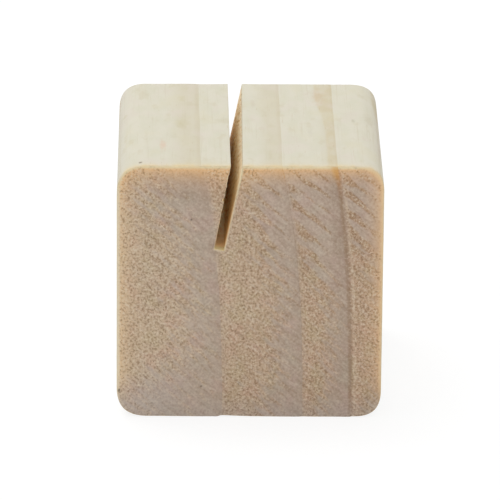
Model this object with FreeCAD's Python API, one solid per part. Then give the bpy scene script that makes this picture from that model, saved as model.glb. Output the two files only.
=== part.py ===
import FreeCAD, Part
import math
import os

# Wooden photo block holder: one solid cube of softwood that stands by itself and grips a print or
# card in a single leaning saw cut. X runs across the end grain, Y along the grain and Z up. The
# origin is the centre of the face that it stands on. All lengths are in millimetres.

# The cube is cut from stock whose four long edges, along the grain, are rounded over.
block_width = 50.0
block_depth = 50.0
block_height = 50.0
long_edge_radius = 4.5

# Sanding breaks the arris all round each sawn end.
end_arris = 0.3

# The saw cut runs from end to end. It leans, so that a print stands tilted back, and it is measured
# square to that lean: a blade's thickness at its floor, and a little more at its mouth, where the
# cheeks have sprung apart. From front to back the blade has wandered, and left it wider.
slot_lean_deg = 11.0
slot_reach = 16.9
mouth_offset = -2.6
floor_width = 1.8
mouth_width = 2.15
back_flare = 0.5

# How far the cutting solid passes the faces that it cuts through.
overrun = 1.0

NODE = "wood_block"


def rounded_outline(width, height, radius, y):
    """The stock's section at station y: a rectangle on the ground with four round corners."""
    side = width / 2
    corner = side - radius
    shoulder = height - radius
    diagonal = radius * math.sqrt(0.5)

    def point(x, z):
        return FreeCAD.Vector(x, y, z)

    def line(start, end):
        return Part.LineSegment(point(*start), point(*end)).toShape()

    def arc(start, middle, end):
        return Part.Arc(point(*start), point(*middle), point(*end)).toShape()

    edges = [
        line((-corner, 0), (corner, 0)),
        arc((corner, 0), (corner + diagonal, radius - diagonal), (side, radius)),
        line((side, radius), (side, shoulder)),
        arc((side, shoulder), (corner + diagonal, shoulder + diagonal), (corner, height)),
        line((corner, height), (-corner, height)),
        arc((-corner, height), (-corner - diagonal, shoulder + diagonal), (-side, shoulder)),
        line((-side, shoulder), (-side, radius)),
        arc((-side, radius), (-corner - diagonal, radius - diagonal), (-corner, 0)),
    ]
    return Part.Wire(edges)


def stock():
    """The length of rounded stock, with the arris broken all round each sawn end."""
    outline = rounded_outline(block_width, block_height, long_edge_radius, -block_depth / 2)
    body = Part.Face(outline).extrude(FreeCAD.Vector(0, block_depth, 0))
    end_edges = [
        edge
        for edge in body.Edges
        if math.isclose(edge.BoundBox.YMin, edge.BoundBox.YMax, abs_tol=end_arris / 2)
    ]
    return body.makeChamfer(end_arris, end_edges)


def slot_corners(y):
    """The saw cut's four corners at station y: the floor's left and right, then the mouth's."""
    lean = math.radians(slot_lean_deg)
    up_the_cut = FreeCAD.Vector(math.sin(lean), 0, math.cos(lean))
    across_the_cut = FreeCAD.Vector(math.cos(lean), 0, -math.sin(lean))
    floor = FreeCAD.Vector(mouth_offset, y, block_height) - up_the_cut * slot_reach

    flare = back_flare * (y / block_depth + 1 / 2)
    taper = (mouth_width - floor_width) / slot_reach
    corners = []
    for reach in (0, slot_reach + overrun):
        half_width = (floor_width + flare + taper * reach) / 2
        for side in (-1, 1):
            corners.append(floor + up_the_cut * reach + across_the_cut * (side * half_width))
    return corners


def slot_cutter():
    """The solid that the saw takes away, from past the front end to past the back end."""
    front = slot_corners(-block_depth / 2 - overrun)
    back = slot_corners(block_depth / 2 + overrun)
    floor_left, floor_right, mouth_left, mouth_right = range(4)
    around = [floor_left, floor_right, mouth_right, mouth_left]

    outlines = [[front[i] for i in around], [back[i] for i in around]]
    for here, following in zip(around, around[1:] + around[:1]):
        outlines.append([front[here], front[following], back[following], back[here]])
    faces = [Part.Face(Part.makePolygon(outline + outline[:1])) for outline in outlines]
    return Part.makeSolid(Part.makeShell(faces))


def wood_block():
    return stock().cut(slot_cutter())


def main():
    os.makedirs("parts", exist_ok=True)
    block = wood_block()
    block.exportStep(f"parts/{NODE}.step")
    box = block.optimalBoundingBox()
    print(f"{NODE}: valid {block.isValid()}, solids {len(block.Solids)}")
    print(f"volume {block.Volume:.1f} mm3")
    print(f"size {box.XLength:.3f} x {box.YLength:.3f} x {box.ZLength:.3f} mm")


main()
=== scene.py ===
"""Wooden photo block holder: a cube of softwood with a leaning saw cut that grips a print.

The block is one closed mesh. Its skin is a section swept along the grain, with worn arrises at both
ends, and each end is filled with a fine net of triangles. Growth rings, saw marks and wear are worked
into the mesh first, and the same rings and marks then drive the wood's colours.

Lengths are in millimetres until a mesh is made. X runs across the end grain, Y along the grain and Z up.
"""

import math
from types import SimpleNamespace

import bpy
import numpy as np
from mathutils import Euler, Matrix, Vector, geometry, noise


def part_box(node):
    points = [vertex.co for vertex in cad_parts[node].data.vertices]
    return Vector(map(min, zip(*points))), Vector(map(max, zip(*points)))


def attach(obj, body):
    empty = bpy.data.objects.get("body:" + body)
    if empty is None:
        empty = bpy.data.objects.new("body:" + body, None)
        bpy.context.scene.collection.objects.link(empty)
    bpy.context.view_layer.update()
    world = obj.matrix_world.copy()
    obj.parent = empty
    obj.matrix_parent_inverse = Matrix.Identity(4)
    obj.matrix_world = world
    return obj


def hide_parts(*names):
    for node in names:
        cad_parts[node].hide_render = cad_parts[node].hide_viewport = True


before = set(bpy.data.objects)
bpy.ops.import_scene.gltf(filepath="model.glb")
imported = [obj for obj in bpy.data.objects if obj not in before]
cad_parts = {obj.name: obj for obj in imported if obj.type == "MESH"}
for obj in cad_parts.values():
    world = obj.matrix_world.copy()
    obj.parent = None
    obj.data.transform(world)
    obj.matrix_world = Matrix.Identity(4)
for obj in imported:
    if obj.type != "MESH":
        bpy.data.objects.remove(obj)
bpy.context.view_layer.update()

MM = 0.001

# The block's outside, from the frame
block_low, block_high = (np.array(corner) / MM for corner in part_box("wood_block"))
block_depth = block_high[1] - block_low[1]
block_height = block_high[2] - block_low[2]
side_x = block_high[0]
front_y = block_low[1]
centre_z = block_height / 2

# The rounded long edges: the radius at the front end and at the back end
corner_radii = {
    "top right": (4.2, 4.3),
    "bottom right": (4.4, 4.4),
    "bottom left": (4.7, 4.7),
    "top left": (4.8, 4.3),
}
# The plain radius from which wear is measured
rim_radius = 4.5
# The right side isn't quite square to the base
out_of_square = 0.05
# A sanded corner has longer tails than an arc. These are shares of its radius.
corner_reach_share = 1.244
corner_pull_share = 0.294 * corner_reach_share

# The saw cut, as the frame's solid has it
slot_lean = math.radians(11.0)
slot_reach = 16.9
mouth_offset = -2.6
floor_width = 1.8
mouth_width = 2.15
back_flare = 0.5
slot_floor_z = block_height - slot_reach * math.cos(slot_lean)
left_lip_radius = 0.14
right_lip_radius = 0.18

# Worn arrises round the two ends. Their wear varies in lumps, each with its share.
arris_radius = 0.4
arris_spread = 0.14
arris_lumps = ((5.0, 1.0), (1.3, 1.0))
lower_arris_cut = 0.8
lower_arris_top = 8.0
back_arris_share = 0.5
# and the finer ones along the saw cut, torn most on its left wall and least worn beside its lips
cut_arris_radius = 0.07
torn_arris = 0.1
torn_lumps = ((0.9, 1.0), (3.0, 0.3))
torn_elsewhere_share = 0.4
lip_arris_radius = 0.05
beside_lips = (0.35, 1.8)

# The blade has broken splinters out of the cut's left wall, above its floor, where it meets the ends
splinter_depth = 0.6
splinter_length = 1.7
splinter_root = 0.2
splinter_lumps = ((0.7, 1.0), (2.4, 0.5))
splinter_share = 0.6
splinter_length_lump = 1.1
above_floor = (0.5, 3.0)

# The mesh's pitch on each surface
skin_pitch = 0.55
top_pitch = 0.5
wall_pitch = 0.28
front_pitch = 0.32
back_pitch = 0.42
corner_steps = 17
lip_steps = 4
arris_steps = 4
# How near an end's net comes to its outline, as a share of its pitch
net_gap_share = 0.5
same_point = 1e-7
sharp_angle = math.radians(60)

# Each growth ring's start along X: at the front end's ground and top, and its shift at the back end
ring_starts = (
    (-35.5, -39.0, 0.0),
    (-26.6, -30.0, 0.0),
    (-5.1, -9.2, -0.5),
    (10.15, 5.9, 0.0),
    (19.25, 16.15, -0.1),
    (31.0, 28.0, 0.0),
    (42.0, 39.5, 0.0),
)
ring_bow_power = 2.6
# Behind the front end the rings near the block's sides wander
side_wander = 14.0
wander_power = 0.7
calm_x = 19.0
wander_lumps = np.array((90.0, 105.0, 15.0))
# How the wood hardens through a ring: each rise's part, and from and to which share of the ring
hardening_shares = ((0.75, 0.0, 0.9), (0.25, 0.55, 0.85))
# and where it gives way to the next ring's soft wood
ring_end_shares = (0.96, 1.0)

# Saw marks run down to the right across the ends, and flatter ones up the walls of the saw cut
saw_slope = math.radians(42.0)
scratch_slope = math.radians(24.0)
saw_pitch = 1.95
wide_saw_pitch = 2.75
wide_saw_start = 27.0
# Those on the ends drift. Each drift has its lump, its seed and how far it goes.
saw_drifts = ((15.0, 2, 1.6), (4.0, 5, 0.5))

# The blade rubs most on each end's upper right: from and to which height, above a line that slopes
# a little, and from and to which place along X
smear_heights = (25.0, 47.0)
smear_tilt = 0.15
smear_from_middle = (-2.0, 6.0)
least_smear = 0.14
smear_spread = 0.26
smear_lump = 11.0

# How far the soft wood that starts each ring has sunk below the bottom face
ring_drops = np.array((0.2, 0.24, 0.29, 0.05, 0.12, 0.12, 0.12))
top_drop_share = 0.25
drop_reach = 6.0
# and how that wood rises again through the ring, as in hardening_shares
drop_shares = ((0.8, -0.12, 0.4), (0.2, 0.3, 0.95))

# How deep each kind of relief goes, and in what lumps
end_ring_relief = 0.06
saw_relief = 0.08
least_saw_share = 0.35
saw_lump = 2.2
fuzz_relief = 0.07
least_fuzz_share = 0.15
fuzz_lump = 0.75
rubbed_off_share = 0.8
plane_relief = 0.03
plane_lumps = np.array((3.0, 30.0, 3.0))
wall_relief = 0.04
wall_lumps = np.array((1.2, 1.1, 3.5))
# From and to which tilt of its normal along Y a place counts as an end: for its relief and its looks
end_relief_tilt = (0.5, 0.95)
end_looks_tilt = (0.5, 0.9)

# What is added to the distance from the saw cut's left wall, which has less wear beside it
left_wall_extra = 0.25

# Small marks on the top face: each one's place and half size along X and Y, its tone and strength
top_marks = (
    ("dark fleck", (-20.6, -22.9), (0.5, 0.7), (120, 100, 78), 0.8),
    ("pink stain", (-16.4, -12.6), (0.75, 4.4), (224, 194, 170), 0.55),
    ("olive smudge", (-12.5, 0.3), (1.7, 4.0), (202, 192, 148), 0.3),
    ("olive spot", (-12.8, 15.3), (1.0, 2.6), (206, 196, 154), 0.3),
    ("brown smear", (0.8, 12.3), (0.7, 3.4), (206, 190, 166), 0.3),
    ("grey patch", (11.5, -4.6), (0.7, 4.0), (206, 200, 180), 0.35),
    ("tan blotch", (13.4, 16.3), (1.8, 5.5), (212, 184, 150), 0.3),
    ("grey speck", (19.8, 2.1), (0.5, 1.4), (190, 184, 160), 0.5),
    ("olive edge", (22.8, 4.3), (1.3, 5.0), (196, 186, 154), 0.3),
)
# and on the front end, along X and Z
front_marks = (
    ("upper speck", (-11.0, 39.4), (0.3, 0.3), (96, 82, 68), 0.75),
    ("lower speck", (-9.0, 6.1), (0.3, 0.3), (100, 86, 72), 0.7),
    ("edge speck", (-24.5, 5.2), (0.35, 0.5), (96, 80, 64), 0.7),
)

# The floor's size, its grey for the light and for the camera, and its glow for the camera
floor_size = 6000.0
floor_grey = 0.8
seen_floor_grey = 0.22
seen_floor_glow = 0.83
# The room's light on the block, and the lamp's place, target, size and power in watts
room_light = 0.68
lamp_place = (-280.0, 260.0, 900.0)
lamp_target = (0.0, 0.0, 30.0)
lamp_size = 600.0
lamp_watts = 3.2
# The camera, with its angles in degrees
camera_place = (-13.66, -1064.58, 401.27)
look_down, turn_right, camera_tilt = 19.484, 0.751, 0.482
lens_length = 424.1
sensor_width = 36.0
near_view, far_view = 100.0, 20000.0


def smooth_step(value, low, high):
    """0 below low and 1 above high, with a smooth rise between them."""
    share = np.clip((value - low) / (high - low), 0, 1)
    return share * share * (3 - 2 * share)


def at_least(least, value):
    """The value squeezed, so that 0 becomes least and 1 stays as it is."""
    return least + (1 - least) * value


def noise_at(points, lump, seed):
    """Smooth noise at each point, about -1 to 1, in lumps of that many millimetres."""
    places = np.asarray(points) / lump + seed * np.array((13.7, 5.3, 29.1))
    return np.array([noise.noise(Vector(place)) for place in places.tolist()])


def noise_share(points, lump, seed):
    """Smooth noise at each point, about 0 to 1."""
    return 0.5 + 0.5 * noise_at(points, lump, seed)


def noise_sum(points, lumps, seed):
    """Smooth noises at each point added up, each in its own lumps and with its own share."""
    return sum(share * noise_at(points, lump, seed + i) for i, (lump, share) in enumerate(lumps))


def ring_count(points):
    """How many rings out from the pith each point lies. A whole number is a ring's start."""
    x, y, z = points.T
    bow = np.clip(z / block_height, 0, 1) ** ring_bow_power
    from_front = np.clip((y - front_y) / block_depth, 0, 1)
    near_side = smooth_step(np.abs(x), calm_x, side_x)
    wander = noise_at(points, wander_lumps, seed=1) * from_front**wander_power * near_side * side_wander
    starts = [ground + (top - ground) * bow + shift * from_front for ground, top, shift in ring_starts]
    shifted = x + wander
    count = np.zeros(len(x))
    for inner, outer in zip(starts, starts[1:]):
        count += np.clip((shifted - inner) / (outer - inner), 0, 1)
    return count


def hardness(count):
    """From 0 in the soft wood that starts each ring to 1 in the hard wood that ends it."""
    share = count % 1
    hard = sum(smooth_step(share, low, high) * part for part, low, high in hardening_shares)
    return hard * (1 - smooth_step(share, *ring_end_shares))


def saw_count(points):
    """How many saw marks in from the lower left each point lies."""
    x, y, z = points.T
    across = x * math.sin(saw_slope) + z * math.cos(saw_slope)
    for lump, seed, reach in saw_drifts:
        across = across + noise_at(points, lump, seed) * reach
    narrow = np.minimum(across, wide_saw_start) / saw_pitch
    return narrow + np.maximum(across - wide_saw_start, 0) / wide_saw_pitch


def smear_strength(points):
    """Where the blade has rubbed the fibres smooth between its marks: most on each end's upper right."""
    x, y, z = points.T
    right = x * -np.sign(y)
    upper = smooth_step(right * smear_tilt + z, *smear_heights)
    upper_right = upper * smooth_step(right, *smear_from_middle)
    return np.clip(upper_right + least_smear + smear_spread * noise_at(points, smear_lump, seed=3), 0, 1)


def rim_distance(points):
    """How far in each point lies from the block's rounded outline."""
    half = np.array((side_x, centre_z))
    places = np.abs(points[:, [0, 2]] - (0, centre_z)) - (half - rim_radius)
    outside = np.linalg.norm(np.maximum(places, 0), axis=1)
    inside = np.minimum(places.max(axis=1), 0)
    return np.maximum(rim_radius - outside - inside, 0)


def slot_corners(share):
    """The saw cut's corners in the section at share of the depth, from the left lip to the right one."""
    up_the_cut = np.array((math.sin(slot_lean), math.cos(slot_lean)))
    across_the_cut = np.array((math.cos(slot_lean), -math.sin(slot_lean)))
    floor = np.array((mouth_offset, block_height)) - up_the_cut * slot_reach
    half_floor = (floor_width + back_flare * share) / 2
    half_taper = (mouth_width - floor_width) / slot_reach / 2
    corners = []
    for hand in (-1, 1):
        low = floor + across_the_cut * half_floor * hand
        along = up_the_cut + across_the_cut * half_taper * hand
        lip = low + along * (block_height - low[1]) / along[1]
        corners.append((lip, low))
    (left_lip, left_floor), (right_lip, right_floor) = corners
    return left_lip, left_floor, right_floor, right_lip


def lip_distance(points):
    """How far each point lies from the saw cut's floor and right wall, or nearly so from its left wall."""
    nearest = np.full(len(points), np.inf)
    shares = (points[:, 1] - front_y) / block_depth
    for first, further in enumerate((left_wall_extra, 0.0, 0.0)):
        ends = [np.array([slot_corners(share)[first + i] for share in (0, 1)]) for i in (0, 1)]
        start, stop = (pair[0] + (pair[1] - pair[0]) * shares[:, None] for pair in ends)
        edge = stop - start
        offset = points[:, [0, 2]] - start
        along = np.clip((offset * edge).sum(axis=1) / (edge * edge).sum(axis=1), 0, 1)
        nearest = np.minimum(nearest, np.linalg.norm(offset - along[:, None] * edge, axis=1) + further)
    return nearest


def rounded_loop(tips, radii, corner_counts, run_counts):
    """A closed outline through the tips, each one rounded, and the run number of each point.

    The number of points depends on the first outline's runs only, so later outlines match it.
    """
    points, runs = [], []
    count = len(tips)
    for i, tip in enumerate(tips):
        before, after = tips[i - 1], tips[(i + 1) % count]
        back = (before - tip) / np.linalg.norm(before - tip)
        ahead = (after - tip) / np.linalg.norm(after - tip)
        reach, pull = radii[i] * corner_reach_share, radii[i] * corner_pull_share
        if radii[i]:
            t = np.linspace(0, 1, corner_counts[i] + 1)[:, None]
            curve = (
                (1 - t) ** 3 * (tip + back * reach)
                + 3 * (1 - t) ** 2 * t * (tip + back * pull)
                + 3 * (1 - t) * t**2 * (tip + ahead * pull)
                + t**3 * (tip + ahead * reach)
            )
        else:
            curve = tip[None]
        end = after - ahead * radii[(i + 1) % count] * corner_reach_share
        t = np.arange(1, run_counts[i])[:, None] / run_counts[i]
        run = curve[-1] + (end - curve[-1]) * t
        points += [curve, run]
        runs += [np.full(len(curve), -1 - i), np.full(len(run), i)]
    return np.concatenate(points), np.concatenate(runs)


# The runs of the outline after each of its tips, clockwise as the front is seen
TOP_RIGHT, RIGHT, BOTTOM, LEFT, TOP_LEFT, LEFT_WALL, FLOOR, RIGHT_WALL = range(8)
# and the number for points inside an end
INSIDE_END = 99


def section(share):
    """The outline at share of the depth, clockwise from the right lip, and each point's run."""
    left_lip, left_floor, right_floor, right_lip = slot_corners(share)
    radii = [start + (end - start) * share for start, end in corner_radii.values()]
    tips = [
        right_lip,
        np.array((side_x, block_height)),
        np.array((side_x - out_of_square, 0.0)),
        np.array((-side_x, 0.0)),
        np.array((-side_x, block_height)),
        left_lip,
        left_floor,
        right_floor,
    ]
    return rounded_loop(
        tips,
        [right_lip_radius, *radii, left_lip_radius, 0, 0],
        [lip_steps, *[corner_steps] * 4, lip_steps, 1, 1],
        run_steps,
    )


def count_runs():
    """How many steps each run of the outline takes."""
    left_lip, _, _, right_lip = slot_corners(0)
    corner = max(max(pair) for pair in corner_radii.values())
    lengths = {
        TOP_RIGHT: (side_x - corner - right_lip[0], top_pitch),
        RIGHT: (block_height - 2 * corner, skin_pitch),
        BOTTOM: (2 * (side_x - corner), skin_pitch),
        LEFT: (block_height - 2 * corner, skin_pitch),
        TOP_LEFT: (side_x - corner + left_lip[0], top_pitch),
        LEFT_WALL: (slot_reach, wall_pitch),
        FLOOR: (floor_width, wall_pitch),
        RIGHT_WALL: (slot_reach, wall_pitch),
    }
    return [round(length / pitch) for length, pitch in lengths.values()]


run_steps = count_runs()


def outward(outline):
    """The outline's outward normal at each of its points."""
    along = np.roll(outline, -1, axis=0) - np.roll(outline, 1, axis=0)
    along /= np.linalg.norm(along, axis=1)[:, None]
    return np.stack([-along[:, 1], along[:, 0]], axis=1)


def in_the_cut(runs):
    """True for the points of the outline on the saw cut's walls and floor."""
    return np.isin(runs, (LEFT_WALL, FLOOR, RIGHT_WALL, -1 - FLOOR, -1 - RIGHT_WALL))


def near_lips(outline):
    """1 next to the saw cut's lips, and 0 further from them, at each point of an end's outline."""
    left_lip, _, _, right_lip = slot_corners(0)
    to_left, to_right = (np.linalg.norm(outline - lip, axis=1) for lip in (left_lip, right_lip))
    return 1 - smooth_step(np.minimum(to_left, to_right), *beside_lips)


def arris_radii(outline, runs, y, seed):
    """How far the arris of one end is worn at each point of its outline."""
    places = np.stack([outline[:, 0], np.full(len(outline), y), outline[:, 1]], axis=1)
    wear_and_highlight = arris_radius + arris_spread * noise_sum(places, arris_lumps, seed)
    wear_and_highlight = wear_and_highlight * (1 - lower_arris_cut * smooth_step(outline[:, 1], lower_arris_top, 0.0))
    torn = np.clip(noise_sum(places, torn_lumps, seed + len(arris_lumps)), 0, 1)
    cut = cut_arris_radius + torn_arris * torn * np.where(runs == LEFT_WALL, 1.0, torn_elsewhere_share)
    near = near_lips(outline)
    return np.where(in_the_cut(runs), cut, wear_and_highlight) * (1 - near) + lip_arris_radius * near


def splinters(outline, runs, from_end, seed):
    """How far splinters have broken out of the wood at each point of a section near one end."""
    places = np.stack([outline[:, 0], np.zeros(len(outline)), outline[:, 1]], axis=1)
    broken = np.clip(noise_sum(places, splinter_lumps, seed), 0, 1)
    varied = noise_at(places, splinter_length_lump, seed + len(splinter_lumps))
    length = splinter_length * at_least(splinter_share, varied)
    shares = broken * (1 - smooth_step(from_end, splinter_root, length)) * (1 - near_lips(outline))
    shares = shares * smooth_step(outline[:, 1], *(slot_floor_z + height for height in above_floor))
    return splinter_depth * shares * (runs == LEFT_WALL)


def skin_row(outline, inset, y):
    """The outline drawn in by the inset, as a row of points at y."""
    drawn_in = outline - outward(outline) * inset[:, None]
    return np.stack([drawn_in[:, 0], y, drawn_in[:, 1]], axis=1)


def arris_rows(outline, runs, arris, seed, hand):
    """One end's worn arris as rows from the end inwards. The front's hand is 1 and the back's is -1."""
    rows = []
    for turn in np.linspace(0, math.pi / 2, arris_steps + 1):
        inset = arris * (1 - math.sin(turn)) + splinters(outline, runs, 0.0, seed)
        rows.append(skin_row(outline, inset, hand * (front_y + arris * (1 - math.cos(turn)))))
    return rows


def skin_rows():
    """Rows of points from the front end to the back, arrises included, and the runs they share."""
    front_seed, back_seed = 41, 45
    outline, runs = section(0)
    back_outline, _ = section(1)
    front_arris = arris_radii(outline, runs, front_y, seed=4)
    back_arris = arris_radii(back_outline, runs, -front_y, seed=8) * back_arris_share
    rows = arris_rows(outline, runs, front_arris, front_seed, 1)
    stations = round(block_depth / skin_pitch)
    for station in range(1, stations):
        share = station / stations
        here, _ = section(share)
        start, end = front_y + front_arris, -front_y - back_arris
        y = start + (end - start) * share
        inset = splinters(here, runs, y - front_y, front_seed)
        inset = inset + splinters(here, runs, -front_y - y, back_seed)
        rows.append(skin_row(here, inset, y))
    rows += arris_rows(back_outline, runs, back_arris, back_seed, -1)[::-1]
    return rows, runs


def end_fill(outline, pitch):
    """Points inside an end's outline on a net of that pitch, and triangles over both."""
    row_height = pitch * math.sqrt(3) / 2
    rows = np.arange(1, int(block_height / row_height)) * row_height
    columns = np.arange(-int(side_x / pitch), int(side_x / pitch) + 1) * pitch
    x, z = np.meshgrid(columns, rows)
    x = x + (np.arange(len(rows)) % 2)[:, None] * pitch / 2
    net = np.stack([x.ravel(), z.ravel()], axis=1)
    nearest = np.full(len(net), np.inf)
    inside = np.zeros(len(net), bool)
    for start, end in zip(outline, np.roll(outline, -1, axis=0)):
        edge = end - start
        share = np.clip((net - start) @ edge / (edge @ edge), 0, 1)
        nearest = np.minimum(nearest, np.linalg.norm(net - start - share[:, None] * edge, axis=1))
        spans = (start[1] > net[:, 1]) != (end[1] > net[:, 1])
        crossing = start[0] + edge[0] * (net[:, 1] - start[1]) / (edge[1] or 1.0)
        inside ^= spans & (net[:, 0] < crossing)
    net = net[inside & (nearest > pitch * net_gap_share)]
    given = [Vector(point) for point in np.concatenate([outline, net]).tolist()]
    boundary = list(range(len(outline)))[::-1]
    _, _, faces, origins, _, _ = geometry.delaunay_2d_cdt(given, [], [boundary], 1, same_point)
    first = [min(origin) for origin in origins]
    return np.array(given), [[first[i] for i in face] for face in faces]


def block_mesh():
    """The block as points, faces and each point's run, before any relief."""
    rows, runs = skin_rows()
    width = len(runs)
    points = list(rows)
    faces = []
    for row in range(len(rows) - 1):
        here, above = row * width, (row + 1) * width
        for i in range(width):
            j = (i + 1) % width
            faces.append((here + i, here + j, above + j, above + i))
    marks = [runs] * len(rows)
    total = width * len(rows)
    for row, pitch, hand in ((0, front_pitch, 1), (len(rows) - 1, back_pitch, -1)):
        edge = rows[row]
        filled, triangles = end_fill(edge[:, [0, 2]], pitch)
        inner = filled[width:]
        level = edge[:, 1].mean()
        points.append(np.stack([inner[:, 0], np.full(len(inner), level), inner[:, 1]], axis=1))
        marks.append(np.full(len(inner), INSIDE_END))
        names = np.concatenate([np.arange(width) + row * width, np.arange(len(inner)) + total])
        total += len(inner)
        for triangle in triangles:
            faces.append(tuple(int(names[i]) for i in triangle[::hand]))
    return np.concatenate(points), faces, np.concatenate(marks)


def ring_drop(points, rings):
    """How far soft wood lies above the bottom face's level, or, as a minus, below the top face's."""
    height = points[:, 2]
    near_top = smooth_step(height, block_height - drop_reach, block_height)
    near_bottom = smooth_step(height, drop_reach, 0.0)
    ring = np.clip(rings.astype(int), 0, len(ring_drops) - 2)
    share = rings - ring
    sunk = 1.0
    for part, low, high in drop_shares:
        sunk = sunk - part * smooth_step(share, low, high)
    drop = ring_drops[ring] * sunk + ring_drops[ring + 1] * smooth_step(share, *ring_end_shares)
    return drop * (near_bottom - near_top * top_drop_share)


def relief(points, normals, runs, rings, saws, smears):
    """How far the wood lies below its ideal surface at each point, against its normal."""
    end = smooth_step(np.abs(normals[:, 1]), *end_relief_tilt)
    cut = in_the_cut(runs)
    skin = (1 - end) * ~cut * plane_relief * noise_share(points, plane_lumps, seed=21)

    soft = 1 - hardness(rings)
    rough = soft * (1 - rubbed_off_share * smears)
    mark = 0.5 - 0.5 * np.cos(2 * math.pi * saws)
    fuzz = noise_share(points, fuzz_lump, seed=22) * at_least(least_fuzz_share, rough)
    marks = saw_relief * mark * at_least(least_saw_share, noise_share(points, saw_lump, seed=23))
    ends = end * (end_ring_relief * soft + marks + fuzz_relief * fuzz)

    return skin + ends + cut * (1 - end) * wall_relief * noise_share(points, wall_lumps, seed=24)


def make_block():
    """The whole block as one object, with the fields that its material reads."""
    points, faces, runs = block_mesh()
    mesh = bpy.data.meshes.new("wood_block_worked")
    mesh.from_pydata(points * MM, [], faces)
    mesh.update()
    normals = np.zeros(len(points) * 3, np.float32)
    mesh.vertices.foreach_get("normal", normals)
    normals = normals.reshape(-1, 3).astype(float)

    rings, saws, smears = ring_count(points), saw_count(points), smear_strength(points)
    depth = relief(points, normals, runs, rings, saws, smears)
    worked = points - normals * depth[:, None]
    worked[:, 2] += ring_drop(points, rings)
    mesh.vertices.foreach_set("co", (worked * MM).astype(np.float32).ravel())

    fields = {
        "ring": rings,
        "saw": saws,
        "smear": smears,
        "rim": rim_distance(points),
        "lip": lip_distance(points),
        "end": smooth_step(np.abs(normals[:, 1]), *end_looks_tilt),
        "cut": in_the_cut(runs).astype(float),
    }
    for name, values in fields.items():
        mesh.attributes.new(name, "FLOAT", "POINT").data.foreach_set("value", values.astype(np.float32))
    mesh.shade_smooth()
    mesh.set_sharp_from_angle(angle=sharp_angle)
    mesh.update()
    block = bpy.data.objects.new("wood_block_worked", mesh)
    bpy.context.scene.collection.objects.link(block)
    return block


def tone(red, green, blue):
    """An sRGB colour, from 0 to 255, as the linear colour that a shader wants."""
    shares = [level / 255 for level in (red, green, blue)]
    linear = [s / 12.92 if s <= 0.04045 else ((s + 0.055) / 1.055) ** 2.4 for s in shares]
    return (*linear, 1.0)


class Shader:
    """Adds nodes to a material. Each call joins or sets the inputs and gives back the result."""

    def __init__(self, material):
        material.use_nodes = True
        self.tree = material.node_tree
        self.tree.nodes.clear()

    def node(self, kind, inputs, **settings):
        made = self.tree.nodes.new(kind)
        for name, value in settings.items():
            setattr(made, name, value)
        for place, value in inputs.items():
            if isinstance(value, bpy.types.NodeSocket):
                self.tree.links.new(value, made.inputs[place])
            else:
                made.inputs[place].default_value = value
        return made

    def sum(self, operation, *values, clamp=False):
        made = self.node("ShaderNodeMath", dict(enumerate(values)), operation=operation, use_clamp=clamp)
        return made.outputs[0]

    def times(self, *values):
        result = values[0]
        for value in values[1:]:
            result = self.sum("MULTIPLY", result, value)
        return result

    def sway(self, value, pattern, reach):
        """The value moved down and up by a pattern, by up to half of reach."""
        return self.sum("MULTIPLY_ADD", self.sum("SUBTRACT", pattern, 0.5), reach, value)

    def rise(self, value, low, high, to_low=0.0, to_high=1.0):
        """A smooth rise, or fall, from to_low where value is low to to_high where it is high."""
        places = {"Value": value, "From Min": low, "From Max": high, "To Min": to_low, "To Max": to_high}
        return self.node("ShaderNodeMapRange", places, interpolation_type="SMOOTHSTEP").outputs["Result"]

    def vector(self, operation, *values, output=0, **inputs):
        inputs.update(enumerate(values))
        return self.node("ShaderNodeVectorMath", inputs, operation=operation).outputs[output]

    def turned(self, place, angle, axis):
        inputs = {"Vector": place, "Angle": angle}
        return self.node("ShaderNodeVectorRotate", inputs, rotation_type=axis).outputs[0]

    def blend(self, share, first, second):
        inputs = {0: share, 6: first, 7: second}
        return self.node("ShaderNodeMix", inputs, data_type="RGBA").outputs[2]

    def field(self, name):
        return self.node("ShaderNodeAttribute", {}, attribute_name=name).outputs["Fac"]

    def noise(self, place, lump, detail, seed):
        """Noise from 0 to 1, in lumps of that many millimetres along each axis."""
        shares = tuple(1 / size for size in lump)
        moved = self.vector("ADD", self.vector("MULTIPLY", place, shares), (seed, seed, seed))
        inputs = {"Vector": moved, "Scale": 1.0, "Detail": detail, "Roughness": noise_roughness}
        return self.node("ShaderNodeTexNoise", inputs).outputs[0]


class Face(Shader):
    """A shader with the patterns, tones and ramps of one kind of face, each used by its name."""

    def __init__(self, shader, patterns, tones, ramps):
        self.tree = shader.tree
        self.patterns, self.tones, self.ramps = patterns, tones, ramps

    def pattern(self, place, name):
        return self.noise(place, *self.patterns[name])

    def ramp(self, value, name):
        return self.rise(value, *self.ramps[name])

    def between(self, share, name):
        """A colour from the first to the second of two tones."""
        first, second = self.tones[name]
        return self.blend(share, tone(*first), tone(*second))

    def over(self, colour, share, name):
        """The colour with a tone over it, as strongly as share says."""
        return self.blend(share, colour, tone(*self.tones[name]))

    def layer(self, colour, value, name):
        """The colour with a tone over it, as strongly as the ramp of the same name says."""
        return self.over(colour, self.ramp(value, name), name)

    def either_way(self, colour, pattern, reach, strength, name):
        """The colour with the first of two tones over it where a pattern is high, the second where low."""
        for levels, way in zip(self.tones[name], (1, -1)):
            share = self.rise(pattern, 0.5, 0.5 + way * reach, 0.0, strength)
            colour = self.blend(share, colour, tone(*levels))
        return colour


# In the tables below a pattern is its lumps along X, Y and Z, its detail and its seed. A ramp is from and
# to where a look changes, in millimetres or in shares, and the strengths there if they aren't 0 and 1.
# A look has one tone, or two that it lies between.
noise_roughness = 0.55
ring_line_pattern = ((0.8, 14.0, 1.1), 2.0, 3.0)
ring_line_wobble = 0.03
outer_ring_ramp = (2.98, 3.02, 0.15, 1.0)
roughness_ramp = (0.5, 0.9, 0.85, 0.7)
wood_shine = 0.25
bump_strength = 0.7
bump_height = 0.1
hue_reach = 0.2


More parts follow.
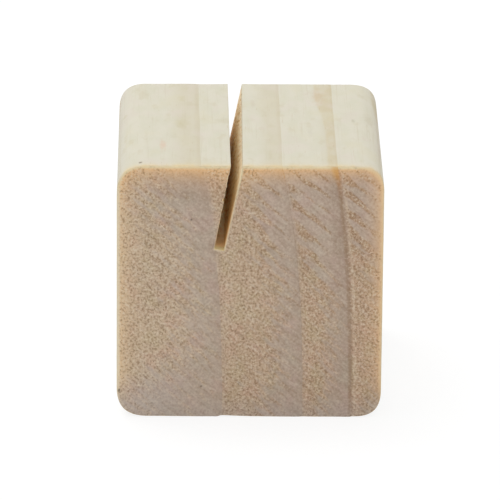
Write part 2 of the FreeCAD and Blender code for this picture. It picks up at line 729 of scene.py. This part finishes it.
def surface_places(shader):
    """What the looks depend on at each point: its place and its place among the rings."""
    place = shader.node("ShaderNodeTexCoord", {}).outputs["Object"]
    place = shader.vector("SCALE", place, Scale=1 / MM)
    at = SimpleNamespace(place=place, rings=shader.field("ring"))
    at.across, at.along, at.up = shader.node("ShaderNodeSeparateXYZ", {0: place}).outputs
    ragged = shader.sway(at.rings, shader.noise(place, *ring_line_pattern), ring_line_wobble)
    at.in_ring = shader.sum("FRACT", ragged)
    at.outer = shader.rise(at.rings, *outer_ring_ramp)
    return at


def wood_material():
    """Softwood: pale along the grain, tan and speckled across it, with rings, saw marks and wear."""
    material = bpy.data.materials.new("softwood")
    shader = Shader(material)
    at = surface_places(shader)
    end, cut = shader.field("end"), shader.field("cut")

    side_colour = side_grain(shader, at)
    cut_colour, cut_height = sawn_wall(shader, at)
    end_colour, end_height = end_grain(shader, at)

    colour = shader.blend(cut, side_colour, cut_colour)
    colour = shader.blend(end, colour, end_colour)
    height = shader.sum("ADD", shader.times(end_height, end), shader.times(cut_height, cut))
    bump = {"Strength": bump_strength, "Distance": bump_height * MM, "Height": height}
    looks = {
        "Base Color": colour,
        "Roughness": shader.rise(at.in_ring, *roughness_ramp),
        "Specular IOR Level": wood_shine,
        "Normal": shader.node("ShaderNodeBump", bump).outputs[0],
    }
    surface = shader.node("ShaderNodeBsdfPrincipled", looks)
    shader.node("ShaderNodeOutputMaterial", {"Surface": surface.outputs[0]})
    return material


side_patterns = {
    "fibres": ((0.3, 14, 0.3), 3, 11),
    "clouds": ((2.2, 5, 2.2), 3, 12),
    "smudges": ((2.4, 5, 2.4), 2, 14),
    "streaks": ((2, 60, 0.9), 3, 17),
    "canals": ((0.22, 3.6, 0.22), 1, 15),
    "hues": ((5, 9, 5), 2, 18),
}
side_tones = {
    "plain wood": ((225, 220, 202), (221, 217, 197)),
    "left to right": ((229, 224, 209), (240, 233, 213)),
    "late wood": (212, 202, 176),
    "ring end": (208, 184, 142),
    "tan band": (213, 198, 162),
    "ring line": (200, 184, 150),
    "smudges": (208, 198, 168),
    "fibres": (208, 198, 172),
    "streaks": (208, 192, 160),
    "canals": (196, 172, 132),
    "hues": ((226, 214, 203), (222, 215, 186)),
    "stain": (238, 212, 162),
}
side_ramps = {
    "plain wood": (0.35, 0.7),
    "on a side": (22, 24.8),
    "left to right": (-20, 20),
    "late wood": (0.66, 0.86),
    "ring end": (0.8, 0.98),
    "wider to the back": (-5, 20, 0, 0.16),
    "tan band": (0.8, 0.86),
    "tan clouds": (0.35, 0.6, 0.25, 0.6),
    "ring line": (0.94, 0.98, 0, 0.16),
    "smudges": (0.56, 0.74, 0, 0.35),
    "fibres": (0.55, 0.75, 0, 0.35),
    "streaks": (0.48, 0.72, 0, 0.36),
    "canals": (0.72, 0.82, 0, 0.5),
    "top face": (44, 48),
    "front tint clouds": (0.3, 0.65, 0.4, 1),
}
side_tone_strength = 0.5
late_strength, late_side_gain = 0.4, 0.2
ring_end_strength = 0.5
side_hue_strength = 0.3
front_tint_reach = 0.9


def side_grain(shader, at):
    """The colour of the faces along the grain."""
    face = Face(shader, side_patterns, side_tones, side_ramps)
    clouds = face.pattern(at.place, "clouds")
    colour = face.between(face.ramp(clouds, "plain wood"), "plain wood")

    # Painted light: the right side is painted lighter than the left, to offset the shade on it
    on_side = face.ramp(face.sum("ABSOLUTE", at.across), "on a side")
    side_colour = face.between(face.ramp(at.across, "left to right"), "left to right")
    colour = face.blend(face.times(on_side, side_tone_strength), colour, side_colour)

    late_share = face.sum("MULTIPLY_ADD", on_side, late_side_gain, late_strength)
    colour = face.over(colour, face.times(face.ramp(at.in_ring, "late wood"), late_share), "late wood")
    ring_end = face.times(face.ramp(at.in_ring, "ring end"), on_side, ring_end_strength)
    colour = face.over(colour, ring_end, "ring end")
    widening = face.sum("ADD", at.in_ring, face.ramp(at.along, "wider to the back"))
    tan = face.times(face.ramp(widening, "tan band"), at.outer, face.ramp(clouds, "tan clouds"))
    colour = face.over(colour, tan, "tan band")
    colour = face.layer(colour, at.in_ring, "ring line")

    colour = face.layer(colour, face.pattern(at.place, "smudges"), "smudges")
    colour = face.layer(colour, face.pattern(at.place, "fibres"), "fibres")
    streaks = face.ramp(face.pattern(at.place, "streaks"), "streaks")
    colour = face.over(colour, face.times(streaks, on_side), "streaks")
    colour = face.layer(colour, face.pattern(at.place, "canals"), "canals")
    hues = face.pattern(at.place, "hues")
    colour = face.either_way(colour, hues, hue_reach, side_hue_strength, "hues")
    colour = marked(shader, at.place, colour, top_marks, 1, face.ramp(at.up, "top face"))

    # Next to the front end the faces turn warmer, in clouds
    from_end = face.sum("DIVIDE", face.sum("SUBTRACT", front_y, at.along), front_tint_reach)
    front_tint = face.times(face.sum("EXPONENT", from_end), face.ramp(clouds, "front tint clouds"))
    return face.over(colour, front_tint, "stain")


mark_edge_pattern = ((0.6, 1.5, 0.6), 2.0, 30.0)
mark_edge_wobble = 1.6
mark_edge = 1.1


def marked(shader, place, colour, marks, second_axis, on_face):
    """The colour with a face's small marks over it. They are placed along X and the second axis."""
    ragged = shader.noise(place, *mark_edge_pattern)
    for _, centre, half_size, levels, strength in marks:
        middle, shares = [0, 0, 0], [0, 0, 0]
        for axis, where, half in zip((0, second_axis), centre, half_size):
            middle[axis] = where
            shares[axis] = 1 / half
        offset = shader.vector("MULTIPLY", shader.vector("SUBTRACT", place, middle), shares)
        distance = shader.sway(shader.vector("LENGTH", offset, output="Value"), ragged, mark_edge_wobble)
        share = shader.times(shader.rise(distance, mark_edge, 0.0, 0.0, strength), on_face)
        colour = shader.blend(share, colour, tone(*levels))
    return colour


cut_patterns = {
    "scratches": ((0.8, 4.5, 0.5), 2, 31),
    "streaks": ((0.4, 1.6, 0.6), 2, 13),
}
cut_tones = {
    "open wood": ((255, 246, 226), (252, 234, 204)),
    "shaded deep wood": ((255, 237, 194), (255, 215, 160)),
    "streaks": (230, 172, 100),
    "scratches": ((232, 164, 92), (222, 192, 128)),
    "light scratches": (255, 250, 220),
    "late wood": (236, 200, 138),
    "mid_shade": (196, 142, 82),
    "front": ((255, 222, 170), (255, 239, 206)),
    "lit floor end": (255, 250, 206),
}
cut_ramps = {
    "depth": (50, 41),
    "streaks": (0.54, 0.68, 0, 0.25),
    "scratches": (0.53, 0.63, 0, 0.8),
    "scratch height": (34, 42),
    "off the floor": (33.8, 35.5, 0.2, 1),
    "light scratches": (0.5, 0.34, 0, 0.6),
    "late wood": (0.6, 0.9, 0, 0.2),
    "mid_shade above": (34.5, 36.5),
    "mid_shade below": (44, 40, 0, 0.5),
    "mid_shade behind": (-12, 0),
    "front": (-6, -22, 0, 0.75),
    "front height": (37, 47),
    "floor": (34.1, 33.7),
    "lit floor end": (-22, -23.8, 0, 0.7),
}
scratch_bump = -3.0


def sawn_wall(shader, at):
    """The colour of the saw cut's walls and floor, and the height of the scratches on them."""
    face = Face(shader, cut_patterns, cut_tones, cut_ramps)
    scratches = face.pattern(face.turned(at.place, scratch_slope, "X_AXIS"), "scratches")
    streaks = face.pattern(at.place, "streaks")
    # Painted shade: the walls, and the scratches on them, are painted darker and more saturated deeper in
    # the cut
    open_wood = face.between(streaks, "open wood")
    shaded_deep_wood = face.between(streaks, "shaded deep wood")
    colour = face.blend(face.ramp(at.up, "depth"), open_wood, shaded_deep_wood)
    colour = face.layer(colour, streaks, "streaks")
    scratched = face.between(face.ramp(at.up, "scratch height"), "scratches")
    scratch_share = face.times(face.ramp(scratches, "scratches"), face.ramp(at.up, "off the floor"))
    colour = face.blend(scratch_share, colour, scratched)
    colour = face.layer(colour, scratches, "light scratches")
    colour = face.layer(colour, at.in_ring, "late wood")

    # The walls carry a painted shade half way down, away from the front end, and a painted light next to
    # the front end.
    mid_shade = face.times(face.ramp(at.up, "mid_shade above"), face.ramp(at.up, "mid_shade below"))
    colour = face.over(colour, face.times(mid_shade, face.ramp(at.along, "mid_shade behind")), "mid_shade")
    front_lit_colour = face.between(face.ramp(at.up, "front height"), "front")
    colour = face.blend(face.ramp(at.along, "front"), colour, front_lit_colour)
    # Painted light on the cut's floor next to the front end
    lit_floor_end = face.times(face.ramp(at.up, "floor"), face.ramp(at.along, "lit floor end"))
    return face.over(colour, lit_floor_end, "lit floor end"), face.times(scratches, scratch_bump)


# The first three patterns of an end run along its saw marks
end_patterns = {
    "streaks": ((3.6, 3.6, 0.7), 1.5, 20),
    "patches": ((8, 8, 2.6), 2, 21),
    "frays": ((1.7, 1.7, 0.55), 2, 26),
    "coarse": ((0.46, 0.46, 0.46), 1, 22),
    "fine": ((0.23, 0.23, 0.23), 1, 23),
    "clumps": ((1.4, 1.4, 1.4), 1, 25),
    "clouds": ((3.4, 3.4, 3.4), 2, 24),
}
end_tones = {
    "rough wood": ((219, 194, 165), (210, 178, 148)),
    "rough hues": ((222, 185, 160), (211, 190, 154)),
    "rough smears": (166, 130, 98),
    "smooth wood": ((203, 184, 166), (195, 173, 154)),
    "smooth hues": ((208, 178, 166), (194, 182, 162)),
    "smooth smears": (226, 204, 186),
    "streaks": ((226, 208, 190), (166, 140, 118)),
    "dark zone": (154, 127, 103),
    "dark line": (158, 123, 88),
    "light line": (238, 216, 188),
    "greyed": (206, 194, 186),
    "browned": (140, 88, 70),
    # Painted light: the warm tones are a glow, as of light coming through the wood near the edges
    "warm sides": ((255, 220, 174), (252, 206, 155)),
    "warm top": (255, 207, 152),
    "resin": (214, 142, 72),
    "pits": (144, 110, 80),
    "fibres": (246, 230, 206),
    # Painted highlight: the pale tones along the edges
    "highlight sides": ((255, 240, 210), (253, 222, 176)),
    "highlight top": (255, 244, 204),
    "amber": (240, 184, 104),
}
end_ramps = {
    "left to right": (-22, 24),
    "upper edge": (42, 48),
    "lower edge": (1, 9),
    "front end": (-20, -24),
    # for how smooth the wood is
    "mark swing": (0, 0.3, 0.3, 0.5),
    "smeared right": (-1, 10, 0.06, 0.5),
    "inner rings": (2.98, 3.02, -0.13, 0),
    "lower half": (20, 3, 0, 0.12),
    "upper half": (30, 44),
    "left ring": (2.02, 1.98, 0, 0.2),
    "low": (14, 2),
    "far left": (-8, -18),
    "outermost": (3.5, 3.6),
    "softened start": (0.05, 0, 0, 0.6),
    "blurred start": (0.09, 0, 0, 0.9),
    "blurred top": (26, 38, 0.35, 1),
    "smooth": (0.36, 0.84),
    # for the speckle
    "pits": (0.51, 0.34),
    "fibres": (0.5, 0.64),
    # for the ring lines, which have resin and amber at the top
    "dark zone": (0.64, 0.92),
    "zone's top": (22, 38, 0.05, 0.36),
    "dark line": (0.91, 0.97),
    "past the line": (0.045, 0),
    "dark patches": (0.3, 0.6, 0.3, 0.52),
    "light line's end": (0.1, 0.06),
    "light line's start": (0.02, 0.05),
    "light patches": (0.35, 0.6, 0.1, 0.4),
    "resin": (43, 49),
    "amber": (0.84, 0.93),
    "amber top": (46.5, 49.4, 0, 0.6),
    # for the edges, with their painted glow and painted highlight
    "greyed": (5, 0, 0, 0.35),
    "left of the cut": (4, -4),
    "off the left corner": (-20, -15),
    "browned from": (42, 45),
    "browned to": (49.5, 48, 0, 0.14),
    "warmth's fall": (-20, 20, -0.5, -0.66),
    "warm patches": (0.2, 0.6, 0.85, 1.1),
    "warmer top": (40, 48, 1, 1.35),
    "warm mouth": (38, 50, 0, 0.35),
    "highlight rim": (0.9, 0.1),
    "highlight lip": (0.5, 0.1),
    "highlight lip's top": (40, 48, 0.7, 0.95),
    "highlight front": (0, -20, 0.2, 0.85),
    "off the right corner": (24.5, 19),
}
mark_gain, least_mark = 0.85, 0.1
patch_gain, least_patch = 1.2, 0.5
streak_sway, fray_sway = 0.3, 0.9
lower_left_strength, lower_left_gain = 0.5, 0.7
coarse_part, fine_part, clump_part = 0.62, 0.28, 0.1
speckle_gain, least_speckle = 0.65, 0.35
pit_strength, fibre_strength = 0.56, 0.52
# How much of a hue rough and smooth wood has, and how much of a smear
end_wood_strengths = {"rough": (0.55, 0.42), "smooth": (0.4, 0.25)}
streak_reach, streak_strength = 0.25, 0.4
mouth_warmth_fall = -0.35
least_warmth = 0.05
fibre_bump, smear_bump = 0.6, 0.8


def end_grain(shader, at):
    """The colour of the sawn ends, and the height of the fibres that stand up or lie torn out."""
    face = Face(shader, end_patterns, end_tones, end_ramps)
    stroke_place = face.turned(at.place, -saw_slope, "Y_AXIS")
    at.streaks, at.patches, at.frays = (
        face.pattern(stroke_place, name) for name in ("streaks", "patches", "frays")
    )
    at.smear, at.rim, at.lip = (face.field(name) for name in ("smear", "rim", "lip"))
    at.to_right = face.ramp(at.across, "left to right")
    at.outermost = face.ramp(at.rings, "outermost")
    at.upper_edge = face.ramp(at.up, "upper edge")
    at.off_lower_edge = face.ramp(at.up, "lower edge")

    smooth, smeared, lower_left = smooth_wood(face, at)
    pits, fibres = speckle(face, at, smooth)
    colour, dark_line = ring_lines(face, at, bare_end(face, at, smooth))
    greyed = face.sum("MAXIMUM", lower_left, face.ramp(at.up, "greyed"))
    colour = painted_glow(face, at, face.over(colour, greyed, "greyed"))
    colour = face.over(colour, face.times(dark_line, face.ramp(at.up, "resin")), "resin")
    colour = face.over(colour, face.times(pits, pit_strength), "pits")
    colour = face.over(colour, face.times(fibres, fibre_strength), "fibres")
    colour = painted_edge_highlights(face, at, colour)
    amber = face.times(face.ramp(at.in_ring, "amber"), at.outer, face.ramp(at.up, "amber top"))
    colour = face.over(colour, amber, "amber")
    colour = marked(shader, at.place, colour, front_marks, 2, face.ramp(at.along, "front end"))

    height = face.sum("SUBTRACT", face.times(fibres, fibre_bump), pits)
    return colour, face.sum("MULTIPLY_ADD", smeared, smear_bump, height)


def smooth_wood(face, at):
    """How smooth an end is, from 0 to 1, with the smears along its saw marks and its lower left's share.

    The blade rubs the late wood smooth, and along its marks it smears the early wood as well.
    """
    turn = face.times(face.field("saw"), 2 * math.pi)
    mark = face.times(face.sum("COSINE", turn), face.ramp(at.in_ring, "mark swing"))
    smeared = face.times(mark, face.sum("MULTIPLY_ADD", at.smear, mark_gain, least_mark))
    level = face.sum("ADD", at.in_ring, smeared)
    level = face.sway(level, at.patches, face.sum("MULTIPLY_ADD", at.smear, patch_gain, least_patch))
    level = face.sway(level, at.streaks, streak_sway)
    level = face.sway(level, at.frays, fray_sway)
    level = face.sum("MULTIPLY_ADD", at.smear, face.ramp(at.across, "smeared right"), level)
    level = face.sum("ADD", level, face.ramp(at.rings, "inner rings"))
    level = face.sum("ADD", level, face.ramp(at.up, "lower half"))
    upper_left = face.times(face.ramp(at.up, "upper half"), face.ramp(at.rings, "left ring"))
    level = face.sum("ADD", level, upper_left)
    lower_left = face.times(face.ramp(at.up, "low"), face.ramp(at.across, "far left"), lower_left_strength)
    level = face.sum("MULTIPLY_ADD", lower_left, lower_left_gain, level)

    # A ring's start is softened on the right, and blurred more the higher it is
    softened = face.times(face.ramp(at.in_ring, "softened start"), at.outermost)
    blurred = face.times(face.ramp(at.in_ring, "blurred start"), face.ramp(at.up, "blurred top"))
    softened = face.sum("MAXIMUM", softened, blurred)
    return face.sum("MAXIMUM", face.ramp(level, "smooth"), softened), smeared, lower_left


def speckle(face, at, smooth):
    """The shares of torn pits and of raised fibres, which are both stronger in rough wood."""
    coarse, fine, clumps = (face.pattern(at.place, name) for name in ("coarse", "fine", "clumps"))
    grain = face.sum("MULTIPLY_ADD", coarse, coarse_part, face.times(fine, fine_part))
    grain = face.sum("MULTIPLY_ADD", clumps, clump_part, grain)
    rough = face.sum("SUBTRACT", 1.0, smooth)
    strength = face.sum("MULTIPLY_ADD", rough, speckle_gain, least_speckle)
    return (face.times(face.ramp(grain, name), strength) for name in ("pits", "fibres"))


def bare_end(face, at, smooth):
    """The colour of an end's rough and smooth wood, in clouds and streaks."""
    clouds = face.pattern(at.place, "clouds")
    colours = []
    for kind, (hue_strength, smear_strength) in end_wood_strengths.items():
        # Each tone is painted darker to the right, as the light from the left falls off
        colour = face.between(at.to_right, f"{kind} wood")
        colour = face.either_way(colour, clouds, hue_reach, hue_strength, f"{kind} hues")
        colours.append(face.over(colour, face.times(at.smear, smear_strength), f"{kind} smears"))
    colour = face.blend(smooth, *colours)
    return face.either_way(colour, at.streaks, streak_reach, streak_strength, "streaks")


def ring_lines(face, at, colour):
    """The colour with each ring's dark end and the light start of the next, and the dark line's share."""
    dark_zone = face.times(face.ramp(at.in_ring, "dark zone"), at.outer, face.ramp(at.up, "zone's top"))
    colour = face.over(colour, dark_zone, "dark zone")
    dark_line = face.times(face.ramp(at.in_ring, "dark line"), at.outer)
    past_line = face.times(face.ramp(at.in_ring, "past the line"), at.outermost)
    dark_line = face.sum("MAXIMUM", dark_line, past_line)
    dark_line = face.times(dark_line, face.ramp(at.patches, "dark patches"))
    colour = face.over(colour, dark_line, "dark line")
    light_ends = (face.ramp(at.in_ring, f"light line's {part}") for part in ("end", "start"))
    light_line = face.times(*light_ends, at.outermost, face.ramp(at.patches, "light patches"))
    return face.over(colour, light_line, "light line"), dark_line


def painted_glow(face, at, colour):
    """The colour with a warm painted glow, as of light coming through the wood, near the edges and by the
    saw cut's mouth, all but the lower edge.
    """
    browned = face.times(
        face.ramp(at.across, "left of the cut"),
        face.ramp(at.across, "off the left corner"),
        face.ramp(at.up, "browned from"),
        face.ramp(at.up, "browned to"),
    )
    colour = face.over(colour, browned, "browned")

    warm = face.sum("EXPONENT", face.times(at.rim, face.ramp(at.across, "warmth's fall")))
    warm = face.times(warm, at.off_lower_edge, face.ramp(at.patches, "warm patches"))
    warm = face.times(warm, face.ramp(at.up, "warmer top"))
    by_mouth = face.sum("EXPONENT", face.times(at.lip, mouth_warmth_fall))
    warm = face.sum("MULTIPLY_ADD", by_mouth, face.ramp(at.up, "warm mouth"), warm)
    warm = face.sum("SUBTRACT", warm, least_warmth, clamp=True)
    side_warmth = face.between(at.to_right, "warm sides")
    return face.blend(warm, colour, face.over(side_warmth, at.upper_edge, "warm top"))


def painted_edge_highlights(face, at, colour):
    """The colour with a pale painted highlight along an end's worn rim and the saw cut's lips, none along
    the lower edge.
    """
    by_lip = face.times(face.ramp(at.lip, "highlight lip"), face.ramp(at.up, "highlight lip's top"))
    wear_and_highlight = face.sum("MAXIMUM", face.ramp(at.rim, "highlight rim"), by_lip)
    wear_and_highlight = face.times(wear_and_highlight, at.off_lower_edge, face.ramp(at.along, "highlight front"))
    side_highlight = face.between(at.to_right, "highlight sides")
    on_top = face.times(at.upper_edge, face.ramp(at.across, "off the right corner"))
    return face.blend(wear_and_highlight, colour, face.over(side_highlight, on_top, "highlight top"))


def plain_floor():
    """A pale floor that reads white where no shadow falls on it."""
    half = floor_size / 2 * MM
    mesh = bpy.data.meshes.new("floor")
    corners = [(-half, -half, 0), (half, -half, 0), (half, half, 0), (-half, half, 0)]
    mesh.from_pydata(corners, [], [(0, 1, 2, 3)])
    floor = bpy.data.objects.new("floor", mesh)
    bpy.context.scene.collection.objects.link(floor)

    material = bpy.data.materials.new("pale_floor")
    shader = Shader(material)
    seen = shader.node("ShaderNodeLightPath", {}).outputs["Is Camera Ray"]
    lit, lit_seen = (
        shader.node("ShaderNodeBsdfDiffuse", {"Color": (grey, grey, grey, 1)}).outputs[0]
        for grey in (floor_grey, seen_floor_grey)
    )
    glow = shader.node("ShaderNodeEmission", {"Color": (1, 1, 1, 1), "Strength": seen_floor_glow})
    white = shader.node("ShaderNodeAddShader", {0: lit_seen, 1: glow.outputs[0]})
    mixed = shader.node("ShaderNodeMixShader", {0: seen, 1: lit, 2: white.outputs[0]})
    shader.node("ShaderNodeOutputMaterial", {"Surface": mixed.outputs[0]})
    mesh.materials.append(material)
    return floor


def studio():
    """Soft light from above and a little left, in a white room."""
    light = bpy.data.lights.new("key", "AREA")
    light.size = lamp_size * MM
    light.energy = lamp_watts
    lamp = bpy.data.objects.new("key", light)
    place, target = (Vector(point) * MM for point in (lamp_place, lamp_target))
    lamp.location = place
    lamp.rotation_euler = (target - place).to_track_quat("-Z", "Y").to_euler()
    bpy.context.scene.collection.objects.link(lamp)

    world = bpy.data.worlds.new("white_room")
    shader = Shader(world)
    seen = shader.node("ShaderNodeLightPath", {}).outputs["Is Camera Ray"]
    level = shader.node("ShaderNodeMapRange", {"Value": seen, "To Min": room_light, "To Max": 1.0})
    white = {"Color": (1, 1, 1, 1), "Strength": level.outputs["Result"]}
    background = shader.node("ShaderNodeBackground", white)
    shader.node("ShaderNodeOutputWorld", {"Surface": background.outputs[0]})
    bpy.context.scene.world = world


def photo_camera():
    """The camera where the photograph was taken: far off, a little above, with a long lens."""
    data = bpy.data.cameras.new("camera")
    data.sensor_width = sensor_width
    data.lens = lens_length
    data.clip_start, data.clip_end = near_view * MM, far_view * MM
    camera = bpy.data.objects.new("camera", data)
    camera.location = Vector(camera_place) * MM
    aim = Euler((math.pi / 2 - math.radians(look_down), 0, -math.radians(turn_right))).to_matrix()
    roll = Euler((0, 0, math.radians(camera_tilt))).to_matrix()
    camera.rotation_euler = (aim @ roll).to_euler()
    bpy.context.scene.collection.objects.link(camera)
    bpy.context.scene.camera = camera


block = make_block()
block.data.materials.append(wood_material())
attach(block, "root")
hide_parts("wood_block")
plain_floor()
studio()
photo_camera()
bpy.context.scene.view_settings.view_transform = "Standard"
